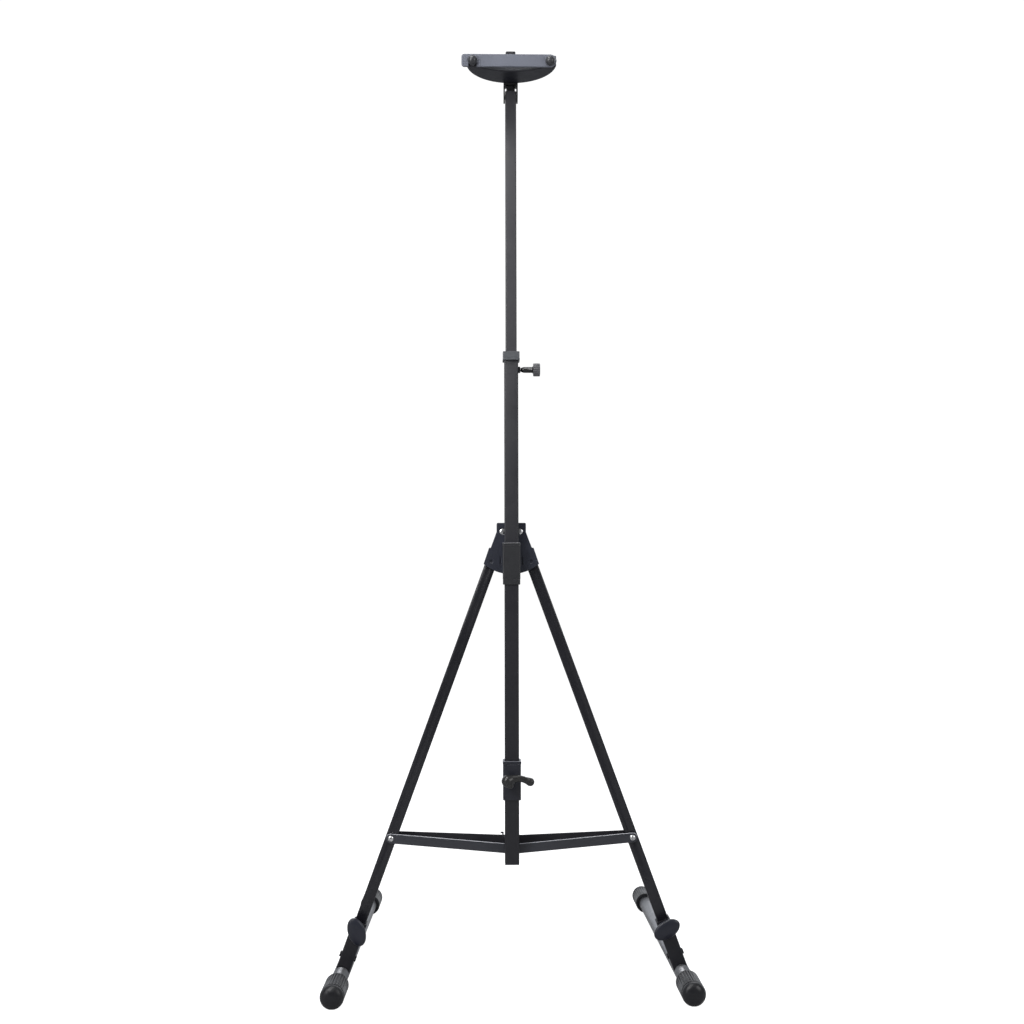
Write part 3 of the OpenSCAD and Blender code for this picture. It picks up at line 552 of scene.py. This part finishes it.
def banded(node, way, bands, bevel, loops):
    """A sleeve in bands, each (share of the height, scale); one under a wider one runs up into it."""
    start, end = span_along(node, way)
    axis = Vector((0, MAST_Y, 0))
    parts, level = [], start
    for (share, scale), (_, above) in zip(bands, bands[1:] + ((0, 0),)):
        top = level + share * (end - start)
        tuck = 1.2 * MM if above > scale else 0.0
        grow = Matrix.Translation(axis) @ Matrix.Scale(scale, 4) @ Matrix.Translation(-axis)
        scaled = [[grow @ co for co in loop] for loop in loops]
        parts.append(slab(node, scaled, way, level, top + tuck, bevel, 3))
        level = top
    return stand_for(joined(node + "_banded", *parts), node)


def weighted(obj):
    """Shades an object's large flat faces flat and its rolled edges smooth."""
    obj.data.set_sharp_from_angle(angle=math.radians(40))
    mod = obj.modifiers.new("weighted", "WEIGHTED_NORMAL")
    mod.keep_sharp = True
    mod.weight = 100
    return apply_modifiers(obj)


def axes_of(direction):
    """Two unit vectors square to a direction."""
    direction = Vector(direction).normalized()
    side = direction.cross(Vector((0, 0, 1)))
    if side.length < 0.1:
        side = Vector((1, 0, 0))
    side.normalize()
    return side, direction.cross(side)


def lathe(name, start, direction, profile, segments, wave=None, shape=(1.0, 1.0), turn=0.0):
    """Sweeps (radius, height) points about an axis; wave(angle, i) scales the radius at point i."""
    start, direction = Vector(start), Vector(direction).normalized()
    u, v = axes_of(direction)
    bm = bmesh.new()
    rings = []
    for i, (radius, height) in enumerate(profile):
        centre = start + direction * height
        if radius < 0.001 * MM:
            rings.append([bm.verts.new(centre)])
            continue
        ring = []
        for k in range(segments):
            angle = 2 * math.pi * k / segments
            reach = radius * (wave(angle, i) if wave else 1.0)
            x, y = reach * math.cos(angle) * shape[0], reach * math.sin(angle) * shape[1]
            x, y = x * math.cos(turn) - y * math.sin(turn), x * math.sin(turn) + y * math.cos(turn)
            ring.append(bm.verts.new(centre + u * x + v * y))
        rings.append(ring)
    for low, high in zip(rings, rings[1:]):
        for k in range(segments):
            n = (k + 1) % segments
            corners = [low[k % len(low)], low[n % len(low)], high[n % len(high)], high[k % len(high)]]
            unique = list(dict.fromkeys(corners))
            if len(unique) > 2:
                bm.faces.new(unique)
    for ring in (rings[0], rings[-1]):
        if len(ring) > 1:
            bm.faces.new(ring)
    return object_from(name, bm)


def arc(centre_r, centre_h, radius, start, end, steps):
    """Points of a profile's arc; 0 degrees points outwards and 90 degrees along the axis."""
    points = []
    for i in range(steps + 1):
        angle = math.radians(start + (end - start) * i / steps)
        points.append((centre_r + radius * math.cos(angle), centre_h + radius * math.sin(angle)))
    return points


def joined(name, *objects):
    """Joins objects into one mesh object, each keeping its own shading."""
    bm = bmesh.new()
    for obj in objects:
        bm.from_mesh(obj.data)
        bpy.data.objects.remove(obj)
    return weighted(object_from(name, bm))


def ripple(angle, count, power):
    """A wave between 0 and 1 that comes back count times round an axis."""
    return (0.5 - 0.5 * math.cos(count * angle)) ** power


# ---------------------------------------------------------------- mast, hub, legs, braces, slider, head

for node in ("outer_mast", "inner_mast", "leg_left", "leg_right"):
    softened(node, 0.25 * MM, 2)
for side in SIDES:
    for layer in ("front", "rear"):
        pressed(f"brace_{side}_{layer}", FRONT, 0.7 * MM)
socketed("hub_front_plate", FRONT, 0.6 * MM, 1.4 * MM)
socketed("hub_rear_plate", REAR, 0.6 * MM, 1.4 * MM)
pressed("backrest_plate", FRONT, 0.6 * MM)
pressed("latch_bar", FRONT, 0.8 * MM)
saddle_loops = clear_of_mast(face_loops("hub_saddle", UP))
banded("hub_saddle", UP, ((0.13, 0.965), (0.81, 0.985), (0.06, 1.005)), 0.5 * MM, saddle_loops)
banded("top_collar", UP, ((0.24, 1.02), (0.76, 0.995)), 0.6 * MM, face_loops("top_collar", UP))
pressed("cradle_block", UP, 2.4 * MM, 6)
pressed("cradle_liner", UP, 0.5 * MM)
softened("mast_end_plug", 0.5 * MM)
softened("knob_boss", 0.4 * MM)
softened("slider_collar", 0.7 * MM, 4)
softened("slider_cap", 0.8 * MM, 4)
softened("slider_tail", 0.5 * MM)
softened("slider_lug", 0.4 * MM)
softened("head_bracket", 0.45 * MM)
softened("mast_tongue", 0.4 * MM)


# ---------------------------------------------------------------- rivets and studs

def domed_pair(name, node, pivots, radius, height):
    """Rivets with a domed head at both ends of a CAD node's depth, on each (x, z) pivot."""
    low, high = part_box(node)
    crown = (radius * radius + height * height) / (2 * height)
    open_angle = math.degrees(math.asin(radius / crown))
    profile = arc(0, crown, crown, -90, -90 + open_angle, 8)
    profile += [(radius, height + 0.6 * MM), (radius * 0.62, height + 0.7 * MM)]
    heads = []
    for x, z in pivots:
        heads.append(lathe(name, (x, low.y, z), REAR, profile, 48))
        heads.append(lathe(name, (x, high.y, z), FRONT, profile, 48))
    return stand_for(joined(name, *heads), node)


hub_x, _, hub_z = joint("leg_fold_right")["pos_m"]
hub_pivots = ((-hub_x, hub_z), (hub_x, hub_z))
domed_pair("hub_rivet_heads", "hub_rivets", hub_pivots, 4.5 * MM, 1.15 * MM)
for side in SIDES:
    x, _, z = joint(f"brace_fold_{side}")["pos_m"]
    heads, rivet = f"brace_rivet_heads_{side}", f"brace_rivet_{side}"
    domed_pair(heads, rivet, ((x, z),), 3.9 * MM, 1.5 * MM)


def stud_set():
    """Two ball studs with short necks, standing out of the cradle's front corners."""
    low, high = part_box("cradle_studs")
    z = mid("cradle_studs").z
    ball = size("cradle_studs").z / 2
    reach = (high.x - low.x) / 2 - ball
    shank = 5.2 * MM
    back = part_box("latch_bar")[0].y - 0.4 * MM - low.y
    profile = [p for p in arc(0, ball, ball, -90, 62, 22) if p[1] < back - 0.3 * MM]
    profile += [(shank + 0.7 * MM, back), (shank, back + 0.6 * MM), (shank, back + 4.3 * MM)]
    studs = [lathe("stud", (sign * reach, low.y, z), REAR, profile, 56) for sign in (-1, 1)]
    return stand_for(joined("ball_studs", *studs), "cradle_studs")


stud_set()


# ---------------------------------------------------------------- knobs

def height_knob():
    """Fluted round knob with a dished face and a tapered neck."""
    low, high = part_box("height_knob")
    middle = mid("height_knob")
    rim = size("height_knob").z / 2
    length = high.x - low.x
    head = length - KNOB_HEAD
    neck, edge = 4.3 * MM, 1.3 * MM
    flutes, flute_depth = 18, 0.055
    profile = [(0, 0), (2.7 * MM, 0), (4.0 * MM, 3.8 * MM), (neck, 4.8 * MM)]
    profile += [(neck, head - 1.6 * MM), (4.9 * MM, head - 0.7 * MM), (6.4 * MM, head - 0.1 * MM)]
    first = len(profile)
    profile += arc(rim - edge, head + edge, edge, -90, 0, 6)
    profile += [(rim, head + 4 * MM), (rim, length - edge - 1 * MM)]
    profile += arc(rim - edge, length - edge, edge, 0, 90, 6)
    last = len(profile)
    profile += [(rim * 0.72, length - 0.1 * MM), (rim * 0.62, length - 1.2 * MM)]
    profile += [(0, length - 1.0 * MM)]

    def fluted(angle, i):
        return 1.0 - flute_depth * ripple(angle, flutes, 0.6) if first <= i < last else 1.0

    start = (low.x, middle.y, middle.z)
    return stand_for(lathe("fluted_height_knob", start, (1, 0, 0), profile, 216, fluted), "height_knob")


def oval_knob(side, turn):
    """Crowned oval knob with a soft rim and a short hub behind it."""
    place = Vector(joint(f"oval_knob_turn_{side}")["pos_m"])
    low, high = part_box(f"oval_knob_{side}")
    long_r, short_r = 20.0 * MM, 12.0 * MM
    depth = high.y - low.y
    crown, steps = 3.6 * MM, 14
    profile = [(0, 0)]
    for i in range(1, steps + 1):
        t = i / steps * math.pi / 2
        profile.append((long_r * math.sin(t) ** 0.9, crown * (1 - math.cos(t)) ** 1.15))
    rim = ((0.995, 1.2), (0.965, 3.2), (0.90, 4.8), (0.70, 5.8), (0.42, 6.4))
    profile += [(long_r * share, crown + behind * MM) for share, behind in rim]
    profile += [(long_r * 0.36, depth), (0, depth)]
    obj = lathe(
        f"oval_wing_knob_{side}", (place.x, low.y, place.z), REAR, profile, 96,
        shape=(1.0, short_r / long_r), turn=turn,
    )
    return stand_for(obj, f"oval_knob_{side}")


def blob(name, balls, voxel):
    """Smooth organic solid wrapped round a chain of balls, given as (place, radius)."""
    bm = bmesh.new()
    for place, radius in balls:
        matrix = Matrix.Translation(place)
        bmesh.ops.create_uvsphere(bm, u_segments=24, v_segments=14, radius=radius, matrix=matrix)
    obj = object_from(name, bm)
    mod = obj.modifiers.new("remesh", "REMESH")
    mod.mode = "VOXEL"
    mod.voxel_size = voxel
    mod = obj.modifiers.new("smooth", "SMOOTH")
    mod.factor = 0.5
    mod.iterations = 10
    obj = apply_modifiers(obj)
    for polygon in obj.data.polygons:
        polygon.use_smooth = True
    return obj


def chain(points, steps):
    """Balls between successive (place, radius) points, evenly spaced."""
    balls = []
    for (a, ra), (b, rb) in zip(points, points[1:]):
        for i in range(steps):
            t = i / steps
            balls.append((Vector(a).lerp(Vector(b), t), ra + (rb - ra) * t))
    balls.append((Vector(points[-1][0]), points[-1][1]))
    return balls


def clamp_knob():
    """Cast T-shaped knob: round lobe, arched arm with a rolled tip, and a stem to the collar."""
    z = joint("slider_knob_turn")["pos_m"][2]
    bar_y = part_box("slider_knob")[0].y + 6.0 * MM

    def balls(steps, *points):
        """A chain of balls through (x, z, y, radius) points, in mm from the bar's middle."""
        places = [((x * MM, bar_y + y * MM, z + up * MM), r * MM) for x, up, y, r in points]
        return chain(places, steps)

    arm = balls(
        7, (-6.5, -0.2, 0, 8.6), (-0.5, 2.4, 0, 5.4), (6, 3.4, 0, 4.7), (13, 3.0, 0, 4.6),
        (19.5, 0.8, 0, 4.7), (24.8, -1.4, 0, 6.0),
    )
    stem = balls(6, (-1.5, -3.0, 2, 4.0), (-1, -2.5, 5, 4.8), (0, 0, 9, 5.4))
    droop = balls(5, (-6.5, -2.5, 0, 6.4), (-3.0, -6.5, 0, 4.8))
    return stand_for(blob("clamp_t_knob", arm + stem + droop, 0.75 * MM), "slider_knob")


height_knob()
oval_knob("left", math.radians(70))
oval_knob("right", math.radians(-32))
clamp_knob()


# ---------------------------------------------------------------- feet

def foot_way(side):
    """Unit vector from a foot's front cap to its rear cap."""
    way = mid(f"foot_cap_rear_{side}") - mid(f"foot_cap_front_{side}")
    return Vector((way.x, way.y, 0)).normalized()


def ribbed_cap(node, side, sign):
    """Rubber cap: ribbed skirt, groove and smooth dome; sign is the dome's way along the tube."""
    low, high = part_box(node)
    z = mid(f"foot_tube_{side}").z
    radius = high.z - z
    length = high.y - low.y
    way = foot_way(side) * sign
    middle = Vector((mid(node).x, mid(node).y, z))
    ribs, rib_depth = 26, 0.095
    dome, dome_steps = 9.5 * MM, 12
    stop = length - dome - 3.0 * MM
    profile = [(11.1 * MM, 0.2 * MM), (radius - 1.6 * MM, 0)]
    profile += arc(radius - 1.4 * MM, 1.4 * MM, 1.4 * MM, -60, 0, 4)
    first = len(profile)
    profile += [(radius, on) for on in (3.2 * MM, 4.4 * MM, stop - 1.6 * MM, stop - 0.4 * MM)]
    last = len(profile)
    groove = ((-1.7, 0.4), (-1.5, 1.5), (-0.2, 2.1), (0, 3.0))
    profile += [(radius + out * MM, stop + on * MM) for out, on in groove]
    for i in range(1, dome_steps):
        t = math.radians(90 * i / dome_steps)
        on = stop + 3.0 * MM + dome * math.sin(t) ** 1.1
        profile.append((radius * math.cos(t) ** 0.8, on))
    profile.append((0, stop + 3.0 * MM + dome))

    def ribbed(angle, i):
        return 1.0 - rib_depth * ripple(angle, ribs, 1.5) if first < i < last - 1 else 1.0

    obj = lathe(node + "_ribbed", middle - way * length / 2, way, profile, 208, ribbed)
    for vertex in obj.data.vertices:
        vertex.co.z = max(vertex.co.z, low.z)  # the narrow flat that the cap stands on
    return stand_for(obj, node)


def foot_tube(side):
    """Round tube with flat closed ends, which the caps cover."""
    node = f"foot_tube_{side}"
    length, radius = size(node).y, size(node).z / 2
    way = foot_way(side)
    profile = [(radius - 1.5 * MM, 0), (radius, 0), (radius, length), (radius - 1.5 * MM, length)]
    obj = lathe(node + "_round", mid(node) - way * length / 2, way, profile, 96)
    for polygon in obj.data.polygons:
        polygon.use_smooth = len(polygon.vertices) == 4
    return stand_for(obj, node)


for side in SIDES:
    ribbed_cap(f"foot_cap_front_{side}", side, -1)
    ribbed_cap(f"foot_cap_rear_{side}", side, 1)
    foot_tube(side)
    softened(f"foot_sleeve_{side}", 0.5 * MM)
    softened(f"foot_bolt_{side}", 0.6 * MM)
    softened(f"foot_lug_{side}", 0.4 * MM)
    softened(f"sleeve_boss_{side}", 0.5 * MM)


# ---------------------------------------------------------------- stage, lights and camera

ROOM_FRONT, ROOM_BACK = 0.17, 1.0  # strength of the surroundings before and behind the object
CAMERA_PLACE = Vector((-0.0316, MAST_Y - 1.7, 0.5647))
CAMERA_TURN, CAMERA_TILT, CAMERA_ROLL = 0.0191, 0.0585, -0.002  # radians: right, up, over
LENS, SENSOR = 42.01, 36  # mm
HEAD = (0, MAST_Y, 1.25)
CHEST = (0, MAST_Y, 0.95)
WAIST = (0, MAST_Y, 0.5)
LEFT_FOOT = (-0.2, MAST_Y - 0.1, 0.0)
SOFTBOXES = (  # name, place, target, width, height, power
    ("key", (-0.85, MAST_Y - 1.0, 1.35), CHEST, 0.7, 0.7, 13),
    ("top", (-0.4, MAST_Y - 0.5, 2.3), HEAD, 0.8, 0.8, 16),
    ("fill", (1.4, MAST_Y - 1.2, 1.2), WAIST, 0.7, 1.2, 10.5),
    ("back", (0.7, MAST_Y + 1.8, 2.1), WAIST, 1.2, 1.2, 14),
    ("low", (-1.2, MAST_Y - 1.0, 0.6), LEFT_FOOT, 0.5, 0.8, 3),
)


def stage_floor():
    """A wide plain pale floor; seen directly it is almost evenly white, with faint contact shadows."""
    bm = bmesh.new()
    bmesh.ops.create_circle(bm, cap_ends=True, segments=96, radius=12.0)
    floor = object_from("floor", bm, smooth=False)
    n = Nodes("pale_floor")
    tone = n.ramp(n.noise(3, 4), ((0.3, (0.38, 0.38, 0.39)), (0.7, (0.42, 0.42, 0.42))))
    path = n.tree.nodes.new("ShaderNodeLightPath").outputs["Is Camera Ray"]
    glow = n.span(path, 0.0, 1.0, 0.01, 0.95)
    n.set(
        Base_Color=tone,
        Roughness=0.9,
        Specular_IOR_Level=0.1,
        Emission_Color=(1.0, 1.0, 1.0),
        Emission_Strength=glow,
    )
    floor.data.materials.append(n.material)


def pale_world():
    """Studio surroundings: white to the camera, a bright backdrop behind the object, dim in front."""
    world = bpy.data.worlds.new("studio")
    bpy.context.scene.world = world
    world.use_nodes = True
    tree = world.node_tree
    seen = tree.nodes["Background"]
    seen.inputs["Color"].default_value = (1.0, 1.0, 1.0, 1)
    seen.inputs["Strength"].default_value = 1.05
    room = tree.nodes.new("ShaderNodeBackground")
    room.inputs["Color"].default_value = (0.92, 0.95, 1.0, 1)
    place = tree.nodes.new("ShaderNodeTexCoord").outputs["Generated"]
    split = tree.nodes.new("ShaderNodeSeparateXYZ")
    tree.links.new(place, split.inputs[0])
    fade = tree.nodes.new("ShaderNodeMapRange")
    fade.interpolation_type = "SMOOTHSTEP"
    for key, number in zip(RANGE_KEYS, (-0.1, 0.75, ROOM_FRONT, ROOM_BACK)):
        fade.inputs[key].default_value = number
    tree.links.new(split.outputs["Y"], fade.inputs["Value"])
    tree.links.new(fade.outputs["Result"], room.inputs["Strength"])
    path = tree.nodes.new("ShaderNodeLightPath")
    mix = tree.nodes.new("ShaderNodeMixShader")
    tree.links.new(path.outputs["Is Camera Ray"], mix.inputs[0])
    tree.links.new(room.outputs[0], mix.inputs[1])
    tree.links.new(seen.outputs[0], mix.inputs[2])
    tree.links.new(mix.outputs[0], tree.nodes["World Output"].inputs["Surface"])


def softbox(name, place, target, width, height, power):
    """A rectangular area light aimed at a point."""
    light = bpy.data.lights.new(name, "AREA")
    light.shape = "RECTANGLE"
    light.size = width
    light.size_y = height
    light.energy = power
    obj = new_object(name, light)
    obj.location = place
    obj.rotation_euler = (Vector(target) - Vector(place)).to_track_quat("-Z", "Y").to_euler()


def camera():
    """A low view from the front, a little left of the mast, tilted slightly up."""
    turn, tilt, roll = CAMERA_TURN, CAMERA_TILT, CAMERA_ROLL
    level = math.cos(tilt)
    forward = Vector((math.sin(turn) * level, math.cos(turn) * level, math.sin(tilt)))
    right = Vector((math.cos(turn), -math.sin(turn), 0))
    up = right.cross(forward)
    right, up = (
        right * math.cos(roll) + up * math.sin(roll),
        up * math.cos(roll) - right * math.sin(roll),
    )
    data = bpy.data.cameras.new("camera")
    data.sensor_width = SENSOR
    data.lens = LENS
    data.clip_end = 60
    obj = new_object("camera", data)
    facing = Matrix((right, up, -forward)).transposed().to_4x4()
    obj.matrix_world = Matrix.Translation(CAMERA_PLACE) @ facing
    bpy.context.scene.camera = obj


stage_floor()
pale_world()
for box in SOFTBOXES:
    softbox(*box)
camera()
bpy.context.scene.view_settings.view_transform = "Standard"
